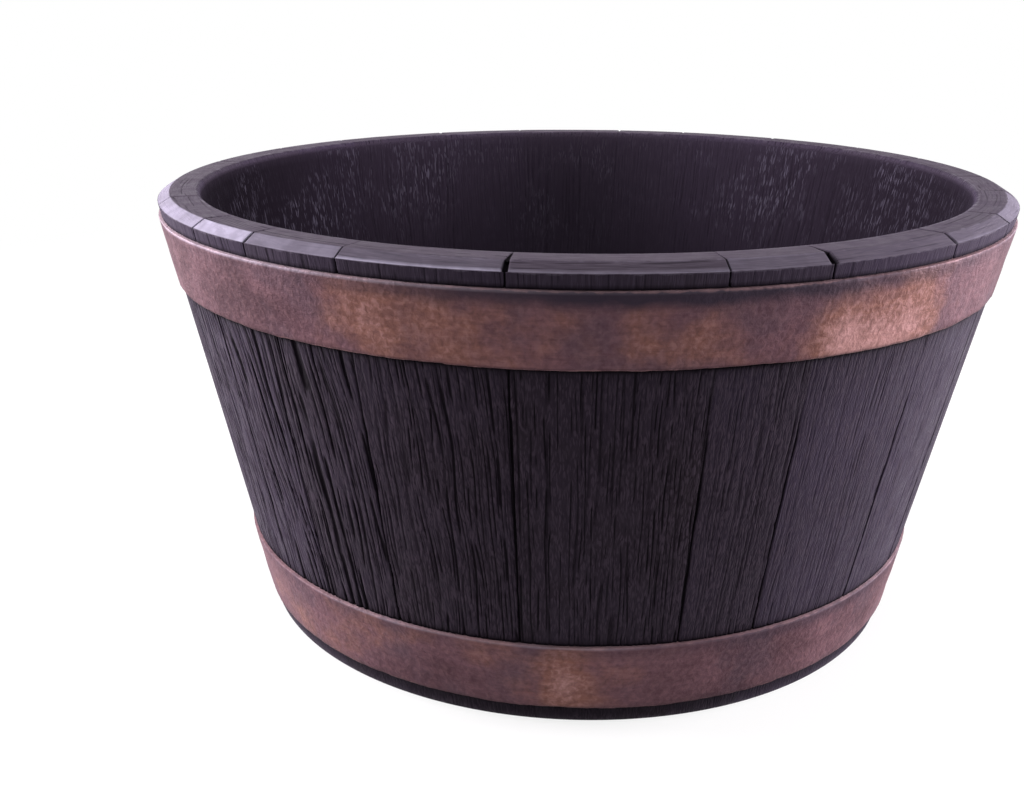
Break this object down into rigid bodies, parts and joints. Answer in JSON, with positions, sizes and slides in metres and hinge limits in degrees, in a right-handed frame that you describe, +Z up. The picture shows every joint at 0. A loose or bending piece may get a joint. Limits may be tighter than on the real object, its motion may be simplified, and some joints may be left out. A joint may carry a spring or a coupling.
{
  "type": "half-barrel planter",
  "caption": "Round tapered half-barrel planter with moulded wood-grain staves, broad bevelled rim, copper-look hoops, double wall and lift-out drain plugs.",
  "frame": {"origin": "centre of the foot on the ground", "axes": "+Z up out of the mouth, -Y the front, +X to the right seen from the front"},
  "size_m": [0.4896, 0.4896, 0.25],
  "materials": {
    "stave_plastic": "dark moulded plastic with a raised wood grain, dull, lighter on the ridges",
    "tub_plastic": "dark moulded plastic with a fine wood grain, grey-purple on the rim's worn top",
    "copper_look": "brushed copper-coloured paint with dark mottled patina, half metallic",
    "plug_rubber": "soft black rubber, dull"
  },
  "bodies": {
    "tub": {"outer_shell": "stave_plastic", "inner_tub": "tub_plastic", "upper_hoop": "copper_look", "lower_hoop": "copper_look"},
    "plug_1": {"drain_plug_1": "plug_rubber"},
    "plug_2": {"drain_plug_2": "plug_rubber"},
    "plug_3": {"drain_plug_3": "plug_rubber"},
    "plug_4": {"drain_plug_4": "plug_rubber"}
  },
  "joints": [
    {"name": "plug_1_lift", "type": "slide", "parent": "tub", "child": "plug_1", "axis": [0, 0, 1], "range_m": [0, 0.26]},
    {"name": "plug_2_lift", "type": "slide", "parent": "tub", "child": "plug_2", "axis": [0, 0, 1], "range_m": [0, 0.26]},
    {"name": "plug_3_lift", "type": "slide", "parent": "tub", "child": "plug_3", "axis": [0, 0, 1], "range_m": [0, 0.26]},
    {"name": "plug_4_lift", "type": "slide", "parent": "tub", "child": "plug_4", "axis": [0, 0, 1], "range_m": [0, 0.26]}
  ]
}
